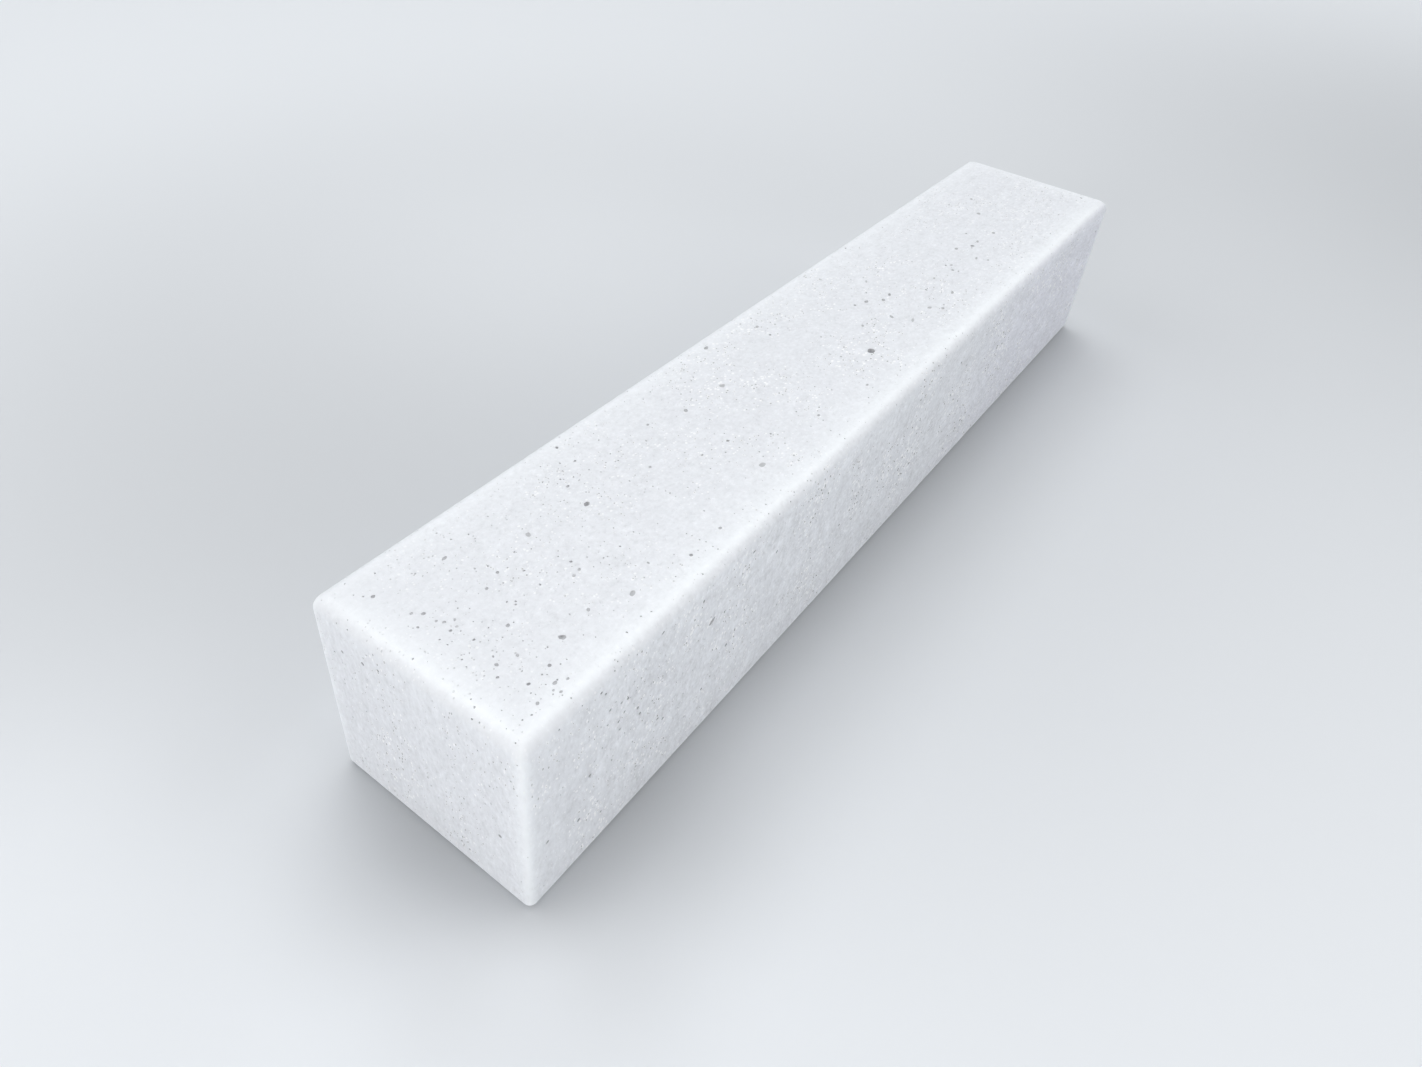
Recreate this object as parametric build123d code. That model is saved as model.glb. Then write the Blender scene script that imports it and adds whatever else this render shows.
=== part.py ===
from build123d import *
import os

# A block of cast concrete, solid right through, lying on its underside.
# X runs along it from the near end (-X) to the far end, the front long side is at -Y and Z is up.
# The origin is the middle of the underside. All sizes are in millimetres.

# The cast size
block_length = 1000
block_width = 182
block_height = 173

# The arrises: the rim of the top is eased more than the mould's upright and bottom corners
top_arris_radius = 10
upright_arris_radius = 6
bottom_arris_radius = 6

# The larger air voids, where bubbles lay against the mould and each left a bowl. Along is measured
# from the near end, across from the front side and up from the underside, to the bowl's middle.
top_voids = [
    # along, across, mouth length, mouth width, depth, turn in degrees
    (31.0, 17.0, 2.5, 2.0, 0.9, 20),
    (48.0, 19.3, 3.3, 2.4, 1.0, 0),
    (49.0, 50.0, 2.4, 2.0, 0.9, 40),
    (76.3, 39.3, 4.8, 3.6, 1.5, -45),
    (77.0, 142.8, 4.2, 2.2, 1.0, 5),
    (103.5, 42.0, 2.9, 2.1, 0.9, 25),
    (119.8, 68.6, 3.0, 2.6, 0.7, 0),
    (128.8, 117.5, 4.2, 3.4, 0.8, 60),
    (132.3, 29.8, 5.2, 3.0, 1.0, 10),
    (178.0, 108.5, 4.6, 3.2, 1.4, 15),
    (298.0, 39.0, 6.2, 4.0, 0.9, 0),
    (315.0, 123.4, 4.2, 3.2, 1.1, 45),
    (363.5, 122.0, 5.0, 4.0, 0.9, 0),
    (402.0, 166.0, 5.2, 3.0, 1.1, 15),
    (463.0, 152.8, 4.2, 2.6, 0.9, 20),
    (499.0, 54.5, 7.8, 5.6, 2.5, 5),
    (575.0, 51.0, 7.2, 2.6, 0.7, 20),
    (608.0, 49.5, 4.6, 3.4, 1.0, -15),
    (616.0, 39.2, 4.2, 3.2, 1.0, 0),
    (651.8, 45.8, 5.4, 2.6, 0.9, 18),
    (745.0, 84.0, 4.6, 3.4, 1.0, 10),
    (764.0, 73.8, 5.0, 3.4, 1.0, 12),
    (812.0, 70.0, 5.0, 3.2, 0.9, 10),
    (847.5, 103.0, 5.4, 4.4, 0.9, 0),
]
front_voids = [
    # along, up, mouth length, mouth width, depth, turn in degrees
    (93.5, 129.0, 2.6, 2.2, 0.9, -60),
    (104.5, 108.3, 2.8, 2.2, 1.0, -60),
    (186.0, 122.3, 7.2, 3.8, 1.3, 25),
]


def eased_block():
    """The casting with its edges rounded, before any void: the top rim first, as it is the widest."""
    casting = Box(block_length, block_width, block_height, align=(Align.CENTER, Align.CENTER, Align.MIN))
    top_rim = casting.faces().sort_by(Axis.Z)[-1].edges()
    casting = fillet(top_rim, top_arris_radius)
    uprights = casting.edges().filter_by(Axis.Z)
    casting = fillet(uprights, upright_arris_radius)
    bottom_rim = casting.faces().sort_by(Axis.Z)[0].edges()
    return fillet(bottom_rim, bottom_arris_radius)


def air_void(mouth_length, mouth_width, depth):
    """The bubble that leaves a bowl in the plane Z = 0, its mouth drawn out along X to its length."""
    bubble_radius = (mouth_width**2 / 4 + depth**2) / (2 * depth)
    bubble = Pos(0, 0, bubble_radius - depth) * Sphere(bubble_radius)
    return scale(bubble, by=(mouth_length / mouth_width, 1, 1))


def voids_in_face(voids, face):
    """Bubbles in a flat face, whose plane starts at the corner that along and across are taken from."""
    bubbles = []
    for along, across, mouth_length, mouth_width, depth, turn in voids:
        bubble = air_void(mouth_length, mouth_width, depth)
        bubbles.append(face * Pos(along, across, 0) * Rot(0, 0, turn) * bubble)
    return bubbles


near_front_corner = (-block_length / 2, -block_width / 2, 0)
near_front_top = (-block_length / 2, -block_width / 2, block_height)
top_face = Plane(origin=near_front_top, x_dir=(1, 0, 0), z_dir=(0, 0, 1))
front_face = Plane(origin=near_front_corner, x_dir=(1, 0, 0), z_dir=(0, -1, 0))
block = eased_block() - voids_in_face(top_voids, top_face) - voids_in_face(front_voids, front_face)

os.makedirs("parts", exist_ok=True)
export_step(block.solid(), "parts/block.step")
print("block volume in litres:", round(block.volume / 1e6, 3))
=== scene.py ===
from math import cos, pi, radians, sin

import bmesh
import bpy
from mathutils import Matrix, Vector, noise
from mathutils.bvhtree import BVHTree


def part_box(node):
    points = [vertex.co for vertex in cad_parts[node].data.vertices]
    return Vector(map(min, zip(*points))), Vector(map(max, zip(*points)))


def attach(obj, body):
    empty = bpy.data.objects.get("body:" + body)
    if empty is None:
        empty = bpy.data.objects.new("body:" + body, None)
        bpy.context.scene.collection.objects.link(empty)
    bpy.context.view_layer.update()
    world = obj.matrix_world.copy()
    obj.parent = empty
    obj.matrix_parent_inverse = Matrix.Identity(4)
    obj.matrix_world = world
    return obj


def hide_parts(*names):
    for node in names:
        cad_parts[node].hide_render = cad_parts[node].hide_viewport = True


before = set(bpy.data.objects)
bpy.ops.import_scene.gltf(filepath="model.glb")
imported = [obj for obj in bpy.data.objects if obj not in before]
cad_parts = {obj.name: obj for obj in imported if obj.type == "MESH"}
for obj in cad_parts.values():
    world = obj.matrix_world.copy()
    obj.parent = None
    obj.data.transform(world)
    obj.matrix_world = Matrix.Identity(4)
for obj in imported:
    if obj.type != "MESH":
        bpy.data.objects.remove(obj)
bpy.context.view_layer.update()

# The cast block
# One solid casting in fine white concrete, struck from a smooth mould and lying on its underside.
# Its edges are eased: the rim of the top is rolled widest, the mould's own corners less.
low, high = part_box("block")
length, width, height = high - low
top_roll = 0.010
upright_roll = 0.006
bottom_roll = 0.006
roll_steps = 9
face_grid = 0.020
corner_tightening = 0.9


def rounded_rectangle(half_length, half_width, radius):
    """The corner arcs of a rounded rectangle, anticlockwise from the +X side, as (x, y) pairs."""
    points = []
    for corner, (side_x, side_y) in enumerate(((1, 1), (-1, 1), (-1, -1), (1, -1))):
        for step in range(roll_steps + 1):
            angle = pi / 2 * (corner + step / roll_steps)
            x = side_x * (half_length - radius) + radius * cos(angle)
            y = side_y * (half_width - radius) + radius * sin(angle)
            points.append((x, y))
    return points


def ring_levels():
    """(height, inset, corner radius) of each ring of the wall, from the underside's rim to the top's."""
    levels = []
    for step in range(roll_steps + 1):
        angle = pi / 2 * step / roll_steps
        inset = bottom_roll * (1 - sin(angle))
        levels.append((bottom_roll * (1 - cos(angle)), inset, upright_roll - corner_tightening * inset))
    for step in range(roll_steps + 1):
        angle = pi / 2 * step / roll_steps
        inset = top_roll * (1 - cos(angle))
        levels.append((height - top_roll * (1 - sin(angle)), inset, upright_roll))
    return levels


casting = bmesh.new()
rings = []
for level, inset, corner in ring_levels():
    outline = rounded_rectangle(length / 2 - inset, width / 2 - inset, corner)
    rings.append([casting.verts.new((x, y, level)) for x, y in outline])
for lower, upper in zip(rings, rings[1:]):
    for here in range(len(lower)):
        after = (here + 1) % len(lower)
        casting.faces.new((lower[here], lower[after], upper[after], upper[here]))
casting.faces.new(list(reversed(rings[0])))
casting.faces.new(rings[-1])
for axis, reach, start in ((0, length, -length / 2), (1, width, -width / 2), (2, height, 0)):
    for cut in range(1, int(reach / face_grid)):
        place = [0, 0, 0]
        place[axis] = start + cut * reach / int(reach / face_grid)
        facing = [0, 0, 0]
        facing[axis] = 1
        whole = casting.verts[:] + casting.edges[:] + casting.faces[:]
        bmesh.ops.bisect_plane(casting, geom=whole, plane_co=place, plane_no=facing)
bmesh.ops.recalc_face_normals(casting, faces=casting.faces[:])
cast_skin = BVHTree.FromBMesh(casting)
casting_mesh = bpy.data.meshes.new("casting")
casting.to_mesh(casting_mesh)
casting.free()


def put_in_scene(name, data):
    """A new object at the origin that holds this mesh, lamp or camera."""
    made = bpy.data.objects.new(name, data)
    bpy.context.scene.collection.objects.link(made)
    return made


block = put_in_scene("cast_block", casting_mesh)


def as_modified(piece):
    """The piece's mesh with its modifiers applied, as a new plain mesh."""
    bpy.context.view_layer.update()
    graph = bpy.context.evaluated_depsgraph_get()
    return bpy.data.meshes.new_from_object(piece.evaluated_get(graph), depsgraph=graph)


def cut_out(piece, bubbles):
    """Takes the bubbles out of the piece and deletes them."""
    cut = piece.modifiers.new("voids", "BOOLEAN")
    cut.operation = "DIFFERENCE"
    cut.solver = "MANIFOLD"
    cut.object = bubbles
    pitted = as_modified(piece)
    piece.modifiers.remove(cut)
    piece.data = pitted
    bpy.data.objects.remove(bubbles)


# The larger air voids
# Bubbles that lay against the mould when the mix set, and left a bowl each in the top and the front.
# Sizes are in millimetres: along from the near end, across from the front side or up from the floor.
millimetre = 0.001
near_end = -length / 2
front_side = -width / 2
top_voids = [
    # along, across, mouth length, mouth width, depth, turn in degrees
    (25.7, 150.8, 2.8, 2.5, 1.2, 0),
    (31.0, 17.0, 2.5, 2.0, 0.9, 20),
    (31.3, 122.3, 2.1, 1.9, 0.7, 0),
    (36.8, 106.3, 1.9, 1.8, 0.6, 0),
    (37.0, 94.0, 2.2, 2.0, 0.9, 0),
    (39.3, 101.9, 2.4, 2.0, 0.9, -30),
    (41.7, 93.6, 2.1, 1.7, 0.5, 0),
    (43.5, 16.3, 1.9, 1.5, 0.5, 30),
    (44.8, 98.7, 2.5, 1.6, 0.7, 50),
    (45.5, 12.3, 2.2, 1.8, 0.8, 0),
    (48.0, 19.3, 3.0, 2.2, 0.9, 0),
    (49.0, 50.0, 2.4, 2.0, 0.6, 40),
    (55.0, 15.6, 2.1, 1.7, 0.8, 0),
    (75.6, 102.7, 2.6, 2.0, 0.9, 20),
    (76.3, 39.3, 4.8, 3.6, 1.5, -45),
    (77.0, 142.8, 4.2, 2.2, 1.0, 5),
    (103.5, 42.0, 2.9, 2.1, 0.75, 25),
    (119.8, 68.6, 3.0, 2.4, 0.5, 0),
    (126.2, 69.8, 2.8, 2.0, 0.8, 25),
    (128.8, 117.5, 4.2, 3.4, 0.8, 60),
    (132.3, 29.8, 5.2, 3.0, 1.0, 10),
    (178.0, 108.5, 4.8, 3.5, 1.8, 15),
    (219.5, 22.6, 2.8, 2.2, 1.1, 10),
    (239.9, 100.5, 2.6, 2.0, 0.9, 15),
    (279.6, 134.3, 2.8, 2.0, 1.0, 20),
    (298.0, 39.0, 6.2, 4.0, 0.75, 0),
    (315.0, 123.4, 4.2, 3.2, 1.1, 45),
    (363.5, 122.0, 5.0, 4.0, 0.9, 0),
    (381.9, 39.6, 2.8, 2.2, 1.0, 10),
    (402.0, 166.0, 5.2, 3.0, 1.1, 15),
    (448.3, 31.0, 3.4, 2.2, 0.7, 0),
    (463.0, 152.8, 4.2, 2.6, 0.9, 20),
    (499.0, 54.5, 7.8, 5.6, 3.1, 5),
    (532.4, 81.2, 3.8, 2.4, 0.8, 25),
    (566.4, 69.0, 5.4, 2.8, 1.0, 50),
    (575.0, 51.0, 7.4, 2.7, 0.5, 20),
    (575.0, 100.6, 4.6, 3.4, 1.3, 10),
    (589.6, 89.8, 4.8, 3.2, 1.3, 20),
    (603.4, 90.3, 5.2, 2.8, 1.2, 20),
    (608.0, 49.5, 4.6, 3.4, 0.7, -15),
    (611.0, 120.4, 4.6, 2.0, 0.6, 25),
    (616.0, 39.2, 4.2, 3.2, 1.0, 0),
    (623.0, 41.6, 2.4, 2.0, 0.9, 0),
    (651.8, 45.8, 5.4, 2.6, 0.9, 18),
    (666.6, 72.6, 4.4, 2.2, 0.5, 20),
    (698.6, 60.4, 3.2, 1.8, 0.6, 10),
    (706.0, 71.8, 4.2, 2.6, 0.8, -20),
    (740.0, 58.8, 6.0, 2.4, 0.6, 20),
    (745.0, 84.0, 4.6, 3.4, 1.0, 10),
    (764.0, 73.8, 5.6, 3.8, 1.3, 12),
    (778.4, 74.2, 5.6, 2.6, 1.0, 15),
    (812.0, 70.0, 5.0, 3.2, 0.9, 10),
    (847.5, 103.0, 5.4, 4.4, 0.9, 0),
    (879.9, 126.3, 5.2, 3.0, 0.8, 10),
]
front_voids = [
    # along, up, mouth length, mouth width, depth, turn in degrees
    (67.2, 160.2, 2.4, 2.0, 1.1, -50),
    (71.3, 155.2, 2.2, 1.8, 1.0, -50),
    (76.0, 135.0, 2.2, 1.8, 1.1, 0),
    (84.7, 114.3, 2.2, 1.8, 1.0, 0),
    (90.3, 118.5, 2.2, 1.8, 1.0, 0),
    (93.5, 129.0, 2.6, 2.2, 1.2, -60),
    (104.5, 108.3, 2.9, 2.4, 1.0, -60),
    (107.0, 100.0, 2.6, 2.2, 1.2, 0),
    (126.8, 161.4, 3.2, 2.0, 1.0, 20),
    (128.0, 72.3, 2.4, 2.0, 1.1, 0),
    (134.3, 66.0, 2.6, 2.2, 1.2, 0),
    (186.0, 122.3, 7.0, 3.8, 1.3, 25),
    (232.3, 155.0, 3.4, 2.0, 0.9, 15),
]


broken_back = 1.12
lumpiness = 0.25
lumps_across = 1.4


def add_bubble(bubbles, face, mouth_length, mouth_width, depth, turn):
    """A ball a little out of round, of which the half below the face leaves the bowl.

    The paste breaks back round the mouth, so the ball is that much wider than the bubble was.
    """
    half_length = mouth_length / 2 * broken_back * millimetre
    half_width = mouth_width / 2 * broken_back * millimetre
    half_sizes = (half_length, half_width, depth * millimetre)
    placed = face @ Matrix.Rotation(radians(turn), 4, "Z") @ Matrix.Diagonal((*half_sizes, 1))
    own_lumps = Vector((turn, mouth_length * 7, mouth_width * 5))
    for vertex in bmesh.ops.create_icosphere(bubbles, subdivisions=3, radius=1)["verts"]:
        lump = noise.noise(vertex.co * lumps_across + own_lumps)
        vertex.co = placed @ (vertex.co * (1 + lumpiness * lump))


large_bubbles = bmesh.new()
for along, across, mouth_length, mouth_width, depth, turn in top_voids:
    mouth = Vector((near_end + along * millimetre, front_side + across * millimetre, height))
    add_bubble(large_bubbles, Matrix.Translation(mouth), mouth_length, mouth_width, depth, turn)
for along, up, mouth_length, mouth_width, depth, turn in front_voids:
    mouth = Vector((near_end + along * millimetre, front_side, up * millimetre))
    front_face = Matrix.Translation(mouth) @ Matrix.Rotation(pi / 2, 4, "X")
    add_bubble(large_bubbles, front_face, mouth_length, mouth_width, depth, turn)
large_mesh = bpy.data.meshes.new("large bubbles")
large_bubbles.to_mesh(large_mesh)
large_bubbles.free()
cut_out(block, put_in_scene("large_bubbles", large_mesh))


# The pinholes
# Small bubbles all over the casting, thick in some places and thin in others. Geometry Nodes scatter
# them over the plain casting and each swarm is cut out in turn, as one cutter must not meet itself.
def add_node(tree, kind, inputs=None, **settings):
    """A node with its settings; each input, by name or number, is a value or an output to link."""
    made = tree.nodes.new(kind)
    for setting, value in settings.items():
        setattr(made, setting, value)
    for socket, value in (inputs or {}).items():
        if isinstance(value, bpy.types.NodeSocket):
            tree.links.new(value, made.inputs[socket])
        else:
            made.inputs[socket].default_value = value
    return made


def number(tree, operation, *terms):
    """The output of a Math node."""
    return add_node(tree, "ShaderNodeMath", dict(enumerate(terms)), operation=operation).outputs[0]


crowds = [
    # along, across, up and reach in millimetres of the places where the pinholes are thickest
    (48, 88, 173, 24),
    (50, 50, 173, 24),
    (48, 18, 173, 20),
    (86, 117, 173, 15),
    (118, 140, 173, 15),
    (190, 143, 173, 18),
    (62, 0, 92, 22),
    (100, 0, 128, 30),
]


crowding = 1.5
thinnest = 0.03
thin_patch = 0.40
thick_patch = 0.66
length_range = (0.85, 1.35)
depth_range = (0.8, 1.4)
lumps_per_metre = 700.0


def pinhole_tree():
    """Takes the casting and gives balls of many sizes, sunk in its faces."""
    tree = bpy.data.node_groups.new("pinholes", "GeometryNodeTree")
    tree.interface.new_socket("Casting", in_out="INPUT", socket_type="NodeSocketGeometry")
    counts = ("Spacing", "Per Square Metre", "Elsewhere", "Gathering")
    for name in counts + ("Smallest", "Largest", "Rarity", "Lumps"):
        tree.interface.new_socket(name, in_out="INPUT", socket_type="NodeSocketFloat")
    for name in ("Roundness", "Seed"):
        tree.interface.new_socket(name, in_out="INPUT", socket_type="NodeSocketInt")
    tree.interface.new_socket("Finish", in_out="INPUT", socket_type="NodeSocketMaterial")
    tree.interface.new_socket("Bubbles", in_out="OUTPUT", socket_type="NodeSocketGeometry")
    given = tree.nodes.new("NodeGroupInput").outputs

    def chance(lowest, highest, offset):
        seed = number(tree, "ADD", given["Seed"], offset)
        drawn = {2: lowest, 3: highest, "Seed": seed}
        return add_node(tree, "FunctionNodeRandomValue", drawn, data_type="FLOAT").outputs[1]

    where = add_node(tree, "GeometryNodeInputPosition").outputs[0]
    gathered = {"Vector": where, "Scale": given["Gathering"], "Detail": 2.0}
    swarm = add_node(tree, "ShaderNodeTexNoise", gathered, noise_dimensions="3D").outputs["Fac"]
    density = add_node(tree, "ShaderNodeMapRange", {
        "Value": swarm, "From Min": thin_patch, "From Max": thick_patch, "To Min": thinnest,
        "To Max": given["Elsewhere"]}).outputs["Result"]
    for along, across, up, reach in crowds:
        middle = Vector((near_end, front_side, 0)) + Vector((along, across, up)) * millimetre
        away = add_node(tree, "ShaderNodeVectorMath", {0: where, 1: middle}, operation="DISTANCE")
        crowd = add_node(tree, "ShaderNodeMapRange", {
            "Value": away.outputs["Value"], "From Min": reach * millimetre, "From Max": 0.0,
            "To Min": 0.0, "To Max": crowding}).outputs["Result"]
        density = number(tree, "MINIMUM", number(tree, "MAXIMUM", density, crowd), 1.0)
    spread = add_node(tree, "GeometryNodeDistributePointsOnFaces", {
        "Mesh": given["Casting"], "Distance Min": given["Spacing"], "Density Max": given["Per Square Metre"],
        "Density Factor": density, "Seed": given["Seed"]}, distribute_method="POISSON")

    rare = number(tree, "POWER", chance(0.0, 1.0, 11), given["Rarity"])
    range_of_sizes = number(tree, "SUBTRACT", given["Largest"], given["Smallest"])
    radius = number(tree, "MULTIPLY_ADD", rare, range_of_sizes, given["Smallest"])
    stretch = chance(*length_range, 12)
    depth = chance(*depth_range, 13)
    scale = add_node(tree, "ShaderNodeCombineXYZ", {
        "X": number(tree, "MULTIPLY", radius, stretch), "Y": radius,
        "Z": number(tree, "MULTIPLY", radius, depth)}).outputs[0]
    spin = add_node(tree, "ShaderNodeCombineXYZ", {"Z": chance(0.0, 2 * pi, 14)}).outputs[0]
    turned = add_node(tree, "FunctionNodeRotateRotation", {
        "Rotation": spread.outputs["Rotation"],
        "Rotate By": add_node(tree, "FunctionNodeEulerToRotation", {"Euler": spin}).outputs[0],
    }, rotation_space="LOCAL").outputs[0]
    ball = add_node(tree, "GeometryNodeMeshIcoSphere", {
        "Radius": 1.0, "Subdivisions": given["Roundness"]}).outputs["Mesh"]
    balls = add_node(tree, "GeometryNodeInstanceOnPoints", {
        "Points": spread.outputs["Points"], "Instance": ball, "Rotation": turned, "Scale": scale}).outputs[0]
    real = add_node(tree, "GeometryNodeRealizeInstances", {"Geometry": balls}).outputs[0]
    rough = add_node(tree, "ShaderNodeTexNoise", {"Vector": where, "Scale": lumps_per_metre, "Detail": 0.0})
    about_zero = add_node(tree, "ShaderNodeVectorMath", {
        0: rough.outputs["Color"], 1: (-0.5, -0.5, -0.5)}, operation="ADD").outputs[0]
    pushed = add_node(tree, "ShaderNodeVectorMath", {
        0: about_zero, "Scale": given["Lumps"]}, operation="SCALE").outputs[0]
    lumpy = add_node(tree, "GeometryNodeSetPosition", {"Geometry": real, "Offset": pushed}).outputs[0]
    finished = add_node(tree, "GeometryNodeSetMaterial", {
        "Geometry": lumpy, "Material": given["Finish"]}).outputs[0]
    tree.links.new(finished, tree.nodes.new("NodeGroupOutput").inputs["Bubbles"])
    return tree


pinholes = pinhole_tree()
swarms = [
    # the wider pinholes, then the fine ones; Smallest and Largest are radii in metres
    {"Spacing": 0.0042, "Per Square Metre": 4200.0, "Elsewhere": 0.22, "Gathering": 14.0,
     "Smallest": 0.0007, "Largest": 0.0016, "Rarity": 3.0, "Lumps": 0.0006, "Roundness": 2, "Seed": 4},
    {"Spacing": 0.0022, "Per Square Metre": 20000.0, "Elsewhere": 0.6, "Gathering": 30.0,
     "Smallest": 0.00038, "Largest": 0.00085, "Rarity": 1.6, "Lumps": 0.0003, "Roundness": 1, "Seed": 21},
]
concrete = bpy.data.materials.new("white cast concrete")
for swarm in swarms:
    bubbles = put_in_scene("swarm", casting_mesh.copy())
    scatter = bubbles.modifiers.new("scatter", "NODES")
    scatter.node_group = pinholes
    for socket in pinholes.interface.items_tree:
        if socket.in_out == "INPUT" and socket.name in swarm:
            scatter[socket.identifier] = swarm[socket.name]
        if socket.name == "Finish":
            scatter[socket.identifier] = concrete
    realized = as_modified(bubbles)
    bubbles.modifiers.remove(scatter)
    bubbles.data = realized
    cut_out(block, bubbles)

sharp_mouth = 38
pitted = block.data
hollow = pitted.attributes.new("hollow", "FLOAT", "POINT")
for vertex in pitted.vertices:
    hollow.data[vertex.index].value = cast_skin.find_nearest(vertex.co)[3]
pitted.polygons.foreach_set("use_smooth", [True] * len(pitted.polygons))
pitted.set_sharp_from_angle(angle=radians(sharp_mouth))
pitted.materials.clear()
pitted.materials.append(concrete)

# The finish of the concrete
# A fine cool-white mix with a dry, faintly mottled skin. Its eased edges carry a painted highlight, painted
# shade darkens the bubbles, and the far part of the front has a painted bluish light. Sizes in the material
# are in metres.
face_white = (0.775, 0.798, 0.838)
bluish_light_white = (0.768, 0.786, 0.852)
edge_highlight_white = (0.925, 0.96, 0.992)
crumb_and_highlight_white = (0.96, 0.975, 0.995)
prick_shade_grey = (0.16, 0.17, 0.18)
void_shade_grey = (0.50, 0.51, 0.53)
front_void_shade_grey = (0.41, 0.42, 0.44)
shade_grey = (0.33, 0.34, 0.36)
concrete.use_nodes = True
skin = concrete.node_tree
surface = skin.nodes["Principled BSDF"]
where = add_node(skin, "ShaderNodeTexCoord").outputs["Object"]
place = add_node(skin, "ShaderNodeSeparateXYZ", {0: where}).outputs

# the pattern is nearly twice as tall as it is long on the near end and by it, and draws out along the
# block, to twice as long as it is tall at the far end
drawing_out = -0.27
upright_scale = 0.55
upright_scale_gain = 0.40
past_start = number(skin, "ADD", place[0], length / 2)
drawn_out = number(skin, "MULTIPLY_ADD", number(skin, "POWER", past_start, 2.0), drawing_out, place[0])
drawn_down = number(skin, "MULTIPLY", place[2], number(
    skin, "MULTIPLY_ADD", past_start, upright_scale_gain, upright_scale))
where = add_node(skin, "ShaderNodeCombineXYZ", {"X": drawn_out, "Y": place[1], "Z": drawn_down}).outputs[0]


def cloud(scale, detail, roughness=0.5):
    """A soft random pattern, of which one swell spans about 1 / scale metres; its middle is 0."""
    swell = add_node(skin, "ShaderNodeTexNoise", {
        "Vector": where, "Scale": scale, "Detail": detail, "Roughness": roughness})
    return number(skin, "SUBTRACT", swell.outputs["Fac"], 0.5)


def between(value, first, second):
    """0 before the first limit, 1 past the second, and a smooth rise between them."""
    limits = {"Value": value, "From Min": first, "From Max": second}
    return add_node(skin, "ShaderNodeMapRange", limits, interpolation_type="SMOOTHSTEP").outputs["Result"]


def mixed(amount, first, second):
    """The first colour, and as much of the second over it."""
    blend = add_node(skin, "ShaderNodeMix", {"Factor": amount}, data_type="RGBA")
    for socket, colour in ((6, first), (7, second)):
        if isinstance(colour, tuple):
            blend.inputs[socket].default_value = (*colour, 1)
        else:
            skin.links.new(colour, blend.inputs[socket])
    return blend.outputs[2]


def fading(distance, strength, span):
    """The strength at a distance of nothing, which fades outward over about this span."""
    shrunk = number(skin, "EXPONENT", number(skin, "DIVIDE", distance, -span))
    return number(skin, "MULTIPLY", shrunk, strength)


# the painted highlight of the edges, wide on the top inside its rim, less below the rim and narrow on the
# uprights and along the foot, where it stands in for light from below; it is weaker on the top's rims at the
# far end and the back, which face away from the light
even_within = 0.008
rim_line = 0.003
less_highlight_on_far_rims = -0.35
from_end = number(skin, "SUBTRACT", length / 2, number(skin, "ABSOLUTE", place[0]))
from_side = number(skin, "SUBTRACT", width / 2, number(skin, "ABSOLUTE", place[1]))
from_top = number(skin, "SUBTRACT", height, place[2])
from_rim = number(skin, "MAXIMUM", number(skin, "MINIMUM", from_end, from_side), even_within)
from_upright = number(skin, "MAXIMUM", from_end, from_side)
far_rims = number(skin, "MAXIMUM", between(place[0], 0.44, 0.49), between(place[1], 0.03, 0.08))
above_rim = number(skin, "MULTIPLY", fading(from_rim, strength=1.42, span=0.0125), number(
    skin, "MULTIPLY_ADD", far_rims, less_highlight_on_far_rims, 1.0))
above_rim = number(skin, "MULTIPLY", above_rim, between(from_top, rim_line, 0.0))
below_rim = fading(from_top, strength=0.34, span=0.026)
below_rim = number(skin, "MULTIPLY", below_rim, between(from_top, 0.0, rim_line))
rim_highlight = number(skin, "ADD", above_rim, below_rim)
upright_highlight = fading(from_upright, strength=1.5, span=0.0055)
foot_painted_light = number(skin, "ADD", fading(place[2], strength=1.40, span=0.003), fading(
    place[2], strength=0.20, span=0.045))
edge_highlight = number(skin, "MAXIMUM", number(skin, "MAXIMUM", rim_highlight, upright_highlight), foot_painted_light)
edge_highlight = number(skin, "MINIMUM", edge_highlight, 1.0)

# how strongly the dry grain shows: more on the sides, more past the near end and less on the highlit edges
grain_on_top = 0.87
more_on_sides = 0.83
grain_on_near_end = 0.95
more_past_it = 0.50
less_on_edges = -0.7
by_face = number(skin, "MULTIPLY_ADD", between(from_top, rim_line, 0.012), more_on_sides, grain_on_top)
along_it = number(
    skin, "MULTIPLY_ADD", between(place[0], -0.497, -0.38), more_past_it, grain_on_near_end)
dry_grain = number(skin, "MULTIPLY", number(skin, "MULTIPLY", by_face, along_it), number(
    skin, "MULTIPLY_ADD", edge_highlight, less_on_edges, 1.0))

# the pin-pricks, bubbles too small for the mesh, with painted shade in them, the pale crumbs of paste among
# them and a painted highlight on the lip round each; all are a quarter wider from the middle of the block
# on, and fainter at its far end
dots_per_metre = 430.0
bare_share = 0.60
dot_rim = 0.08
lip_highlight_share = 0.7
wider_past_middle = 0.26
fainter_at_far_end = -0.45
dots = add_node(skin, "ShaderNodeTexVoronoi", {"Vector": where, "Scale": dots_per_metre}, feature="F1")
drawn = add_node(skin, "ShaderNodeSeparateColor", {0: dots.outputs["Color"]}).outputs
gathering = between(cloud(scale=22.0, detail=2.0), -0.12, 0.16)
growth = number(skin, "MULTIPLY_ADD", between(place[0], -0.3, 0.0), wider_past_middle, 1.0)
at_far_end = number(skin, "MULTIPLY_ADD", between(place[0], 0.1, 0.4), fainter_at_far_end, 1.0)
coarseness = number(skin, "MULTIPLY", number(skin, "MULTIPLY", dry_grain, growth), at_far_end)


def dot(chance_drawn, rarest, smallest, largest):
    """1 within the dots, of which the rarest have the full size, and 0 outside them."""
    radius = number(skin, "MULTIPLY", between(chance_drawn, rarest, 1.0), number(
        skin, "MULTIPLY_ADD", gathering, largest - smallest, smallest))
    radius = number(skin, "MULTIPLY", radius, growth)
    return between(number(skin, "SUBTRACT", radius, dots.outputs["Distance"]), 0.0, dot_rim)


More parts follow.
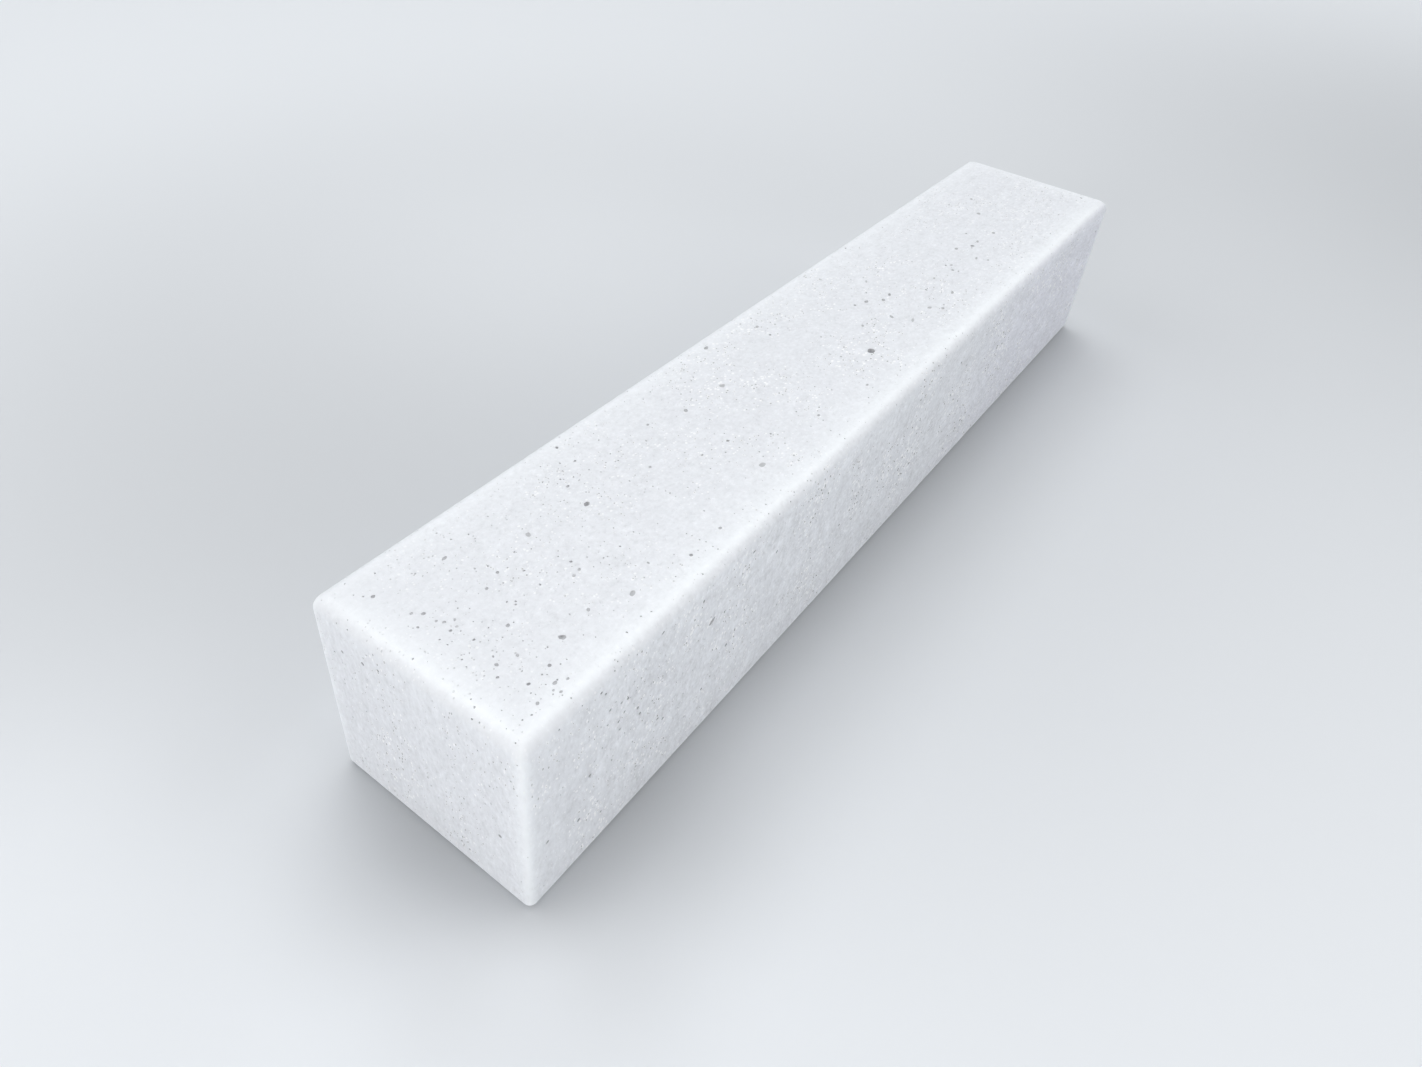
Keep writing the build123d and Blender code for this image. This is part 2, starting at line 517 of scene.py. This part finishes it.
prick = dot(drawn[0], bare_share, smallest=0.15, largest=0.35)
# a painted highlight on a ring round each pin-prick
lip_highlight = number(skin, "SUBTRACT", dot(drawn[0], bare_share, smallest=0.23, largest=0.52), prick)
crumb_and_lip_highlight = number(skin, "MAXIMUM", dot(drawn[1], bare_share, smallest=0.20, largest=0.50), number(
    skin, "MULTIPLY", lip_highlight, lip_highlight_share))


def peaked(value, calm=0.5, peaking=5.0):
    """The same pattern, calmer for the most part and stronger where it peaks."""
    return number(skin, "MULTIPLY", value, number(
        skin, "MULTIPLY_ADD", number(skin, "ABSOLUTE", value), peaking, calm))


# the tone: wide clouds, mottles of about 14 and 6 mm, a fine scratchy grain, crumbs with painted lip
# highlights, and pricks with painted shade
cloudiness = 0.030
wide_mottling = 0.066
fine_mottling = 0.092
graininess = 0.22
crumb_and_highlight_cover = 0.58
prick_shade_cover = 0.32
shallow_shade_depths = (0.00002, 0.0005)
shaded_depths = (0.0006, 0.0022)
grain = peaked(cloud(scale=330.0, detail=3.0, roughness=0.6))
dryness = number(skin, "MULTIPLY", peaked(cloud(scale=70.0, detail=2.0)), wide_mottling)
dryness = number(skin, "MULTIPLY_ADD", peaked(cloud(scale=160.0, detail=2.0)), fine_mottling, dryness)
dryness = number(skin, "MULTIPLY_ADD", grain, graininess, dryness)
tone = number(skin, "MULTIPLY_ADD", cloud(scale=7.0, detail=2.0), cloudiness, 1.0)
tone = number(skin, "MULTIPLY_ADD", dryness, dry_grain, tone)
on_front = between(place[1], -0.085, -0.089)
# a painted bluish light, stronger towards the far end of the front side
bluish_light = number(skin, "MULTIPLY", on_front, between(place[0], 0.05, 0.32))
face_and_bluish_white = mixed(bluish_light, face_white, bluish_light_white)
body = mixed(edge_highlight, face_and_bluish_white, edge_highlight_white)
toned = add_node(skin, "ShaderNodeVectorMath", {0: body, "Scale": tone}, operation="SCALE").outputs[0]
# the pale crumbs, and the painted highlights on the lips of the pin-pricks
crumbed_and_highlit = mixed(number(skin, "MULTIPLY", crumb_and_lip_highlight, number(
    skin, "MINIMUM", number(skin, "MULTIPLY", coarseness, crumb_and_highlight_cover), 1.0)), toned, crumb_and_highlight_white)
# painted shade: the middle of each pin-prick is darkened to grey
prick_shaded = mixed(number(skin, "MULTIPLY", prick, number(
    skin, "MINIMUM", number(skin, "MULTIPLY", coarseness, prick_shade_cover), 1.0)), crumbed_and_highlit, prick_shade_grey)
# painted shade: the bubbles' bowls darken with depth, more on the front side
void_depth = add_node(skin, "ShaderNodeAttribute", attribute_name="hollow").outputs["Fac"]
void_shade = mixed(on_front, void_shade_grey, front_void_shade_grey)
void_shaded = mixed(between(void_depth, *shallow_shade_depths), prick_shaded, void_shade)
shaded = mixed(between(void_depth, *shaded_depths), void_shaded, shade_grey)
skin.links.new(shaded, surface.inputs["Base Color"])
face_roughness = 0.80
rougher_in_grain = 0.25
roughness = number(skin, "MULTIPLY_ADD", grain, rougher_in_grain, face_roughness)
skin.links.new(roughness, surface.inputs["Roughness"])
surface.inputs["Specular IOR Level"].default_value = 0.35

# the relief: grain under a tenth of a millimetre deep, the pin-pricks and wide shallow swells
grain_relief = 0.00035
prick_relief = -0.0003
swell_relief = 0.0006
relief = number(skin, "MULTIPLY_ADD", number(skin, "MULTIPLY", grain, dry_grain), grain_relief, number(
    skin, "MULTIPLY", prick, prick_relief))
relief = number(skin, "MULTIPLY_ADD", cloud(scale=55.0, detail=1.0), swell_relief, relief)
bump = add_node(skin, "ShaderNodeBump", {"Height": relief, "Strength": 1.0, "Distance": 1.0})
skin.links.new(bump.outputs["Normal"], surface.inputs["Normal"])

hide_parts("block")
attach(block, "root")

# The floor
# A sheet of matt cool-grey paper, with painted shade and light in soft pools: three wide darker ones, a
# paler one within the first of them, and four small darker and paler ones close to the near end.
floor_reach = 30.0
paper_grey = (0.676, 0.700, 0.728)
contact_reach = 0.05
contact_shade = -0.30
floor_mesh = bpy.data.meshes.new("studio floor")
floor_corners = [(x * floor_reach, y * floor_reach, 0) for x, y in ((-1, -1), (1, -1), (1, 1), (-1, 1))]
floor_mesh.from_pydata(floor_corners, [], [(0, 1, 2, 3)])
floor = put_in_scene("studio_floor", floor_mesh)
paper = bpy.data.materials.new("paper")
paper.use_nodes = True
sheet = paper.node_tree
matte = sheet.nodes["Principled BSDF"]
matte.inputs["Roughness"].default_value = 1.0
matte.inputs["Specular IOR Level"].default_value = 0.0
spot = add_node(sheet, "ShaderNodeTexCoord").outputs["Object"]
lightness = 1.233
painted_light_pools = [
    # middle, reach in metres, how much lighter
    ((-0.04, 0.37, 0), 0.61, -0.586),
    ((1.50, -0.97, 0), 1.33, -0.415),
    ((0.07, 0.44, 0), 0.43, 0.400),
    ((-0.66, 0.19, 0), 0.155, 0.130),
    ((-2.10, -2.10, 0), 1.35, -0.300),
    ((-0.52, -0.11, 0), 0.045, 0.130),
    ((-0.40, -0.115, 0), 0.080, -0.110),
    ((-0.52, 0.00, 0), 0.060, -0.115),
]
for middle, reach, lighter in painted_light_pools:
    away = add_node(sheet, "ShaderNodeVectorMath", {0: spot, 1: middle}, operation="DISTANCE")
    squared = number(sheet, "POWER", number(sheet, "DIVIDE", away.outputs["Value"], reach), 2.0)
    painted_pool = number(sheet, "EXPONENT", number(sheet, "MULTIPLY", squared, -1.0))
    lightness = number(sheet, "MULTIPLY_ADD", painted_pool, lighter, lightness)
# painted contact shade: for camera rays only, the floor is darkened where the block closes off the open air
# nearby
open_air = add_node(sheet, "ShaderNodeAmbientOcclusion", {
    "Distance": contact_reach}, samples=8).outputs["AO"]
seen = add_node(sheet, "ShaderNodeLightPath").outputs["Is Camera Ray"]
closeness = number(sheet, "MULTIPLY", number(sheet, "SUBTRACT", 1.0, open_air), seen)
lightness = number(sheet, "MULTIPLY", lightness, number(
    sheet, "MULTIPLY_ADD", closeness, contact_shade, 1.0))
shade = add_node(sheet, "ShaderNodeVectorMath", {
    0: paper_grey, "Scale": lightness}, operation="SCALE").outputs[0]
sheet.links.new(shade, matte.inputs["Base Color"])
floor.data.materials.append(paper)

# The light
# A high soft key from beyond the far end, two fills from the sides and two low ones by the camera.
# The studio round it looks as pale as the floor, but hardly lights the block.
light_on_block = 0.03
pallor_seen = 0.80
world = bpy.data.worlds.new("studio")
world.use_nodes = True
studio = world.node_tree
backdrop = studio.nodes["Background"]
backdrop.inputs["Color"].default_value = (0.92, 0.955, 1, 1)
ray = add_node(studio, "ShaderNodeLightPath").outputs
looked_at = number(studio, "MAXIMUM", ray["Is Camera Ray"], number(
    studio, "MAXIMUM", ray["Is Glossy Ray"], ray["Is Transmission Ray"]))
glow = number(studio, "MULTIPLY_ADD", looked_at, pallor_seen, light_on_block)
studio.links.new(glow, backdrop.inputs["Strength"])
bpy.context.scene.world = world


block_middle = (0, 0, 0.1)


def aim(lamp, bearing, rise, distance):
    """Sets a lamp this far from the block, at this bearing and rise in degrees, facing it."""
    away = Matrix.Rotation(radians(bearing), 4, "Z") @ Matrix.Rotation(radians(-rise), 4, "Y")
    facing = Matrix.Translation((distance, 0, 0)) @ Matrix.Rotation(pi / 2, 4, "Y")
    lamp.matrix_world = Matrix.Translation(block_middle) @ away @ facing


suns = [
    # name, bearing, rise and softness in degrees, strength, colour
    ("key", 50, 67, 50, 1.95, (0.978, 0.991, 1)),
    ("back_fill", 135, 28, 50, 0.74, (1, 1, 1)),
    ("side_fill", 315, 28, 50, 0.90, (1, 1, 1)),
    ("end_fill", 180, 10, 20, 0.51, (1, 0.96, 0.935)),
]
for name, bearing, rise, softness, strength, colour in suns:
    sun = bpy.data.lights.new(name, "SUN")
    sun.angle = radians(softness)
    sun.energy = strength
    sun.color = colour
    aim(put_in_scene(name, sun), bearing, rise, distance=3)

# the low lamp beyond the near front corner, a softbox close enough to light the near end most
softbox = bpy.data.lights.new("corner_fill", "AREA")
softbox.shape = "DISK"
softbox.size = 3.6
softbox.energy = 73.0
softbox.color = (1, 0.972, 0.95)
softbox.use_shadow = False
aim(put_in_scene("corner_fill", softbox), bearing=225, rise=30, distance=4.5)

# The camera
# It stands before the near end, out on the front side, and looks down along the block with a wide
# lens, so that the far end looks small.
camera_data = bpy.data.cameras.new("camera")
camera_data.sensor_width = 36
camera_data.lens = 24.96
camera_data.shift_x = 0.0166
camera_data.shift_y = -0.0437
camera = put_in_scene("camera", camera_data)
heading = radians(33.397)
pitch = radians(-39.185)
roll = radians(5.093)
aimed = Matrix.Rotation(heading - pi / 2, 4, "Z") @ Matrix.Rotation(pi / 2 + pitch, 4, "X")
stand = Matrix.Translation((-0.71736, -0.32515, 0.6333))
camera.matrix_world = stand @ aimed @ Matrix.Rotation(roll, 4, "Z")
bpy.context.scene.camera = camera
bpy.context.scene.view_settings.view_transform = "Standard"
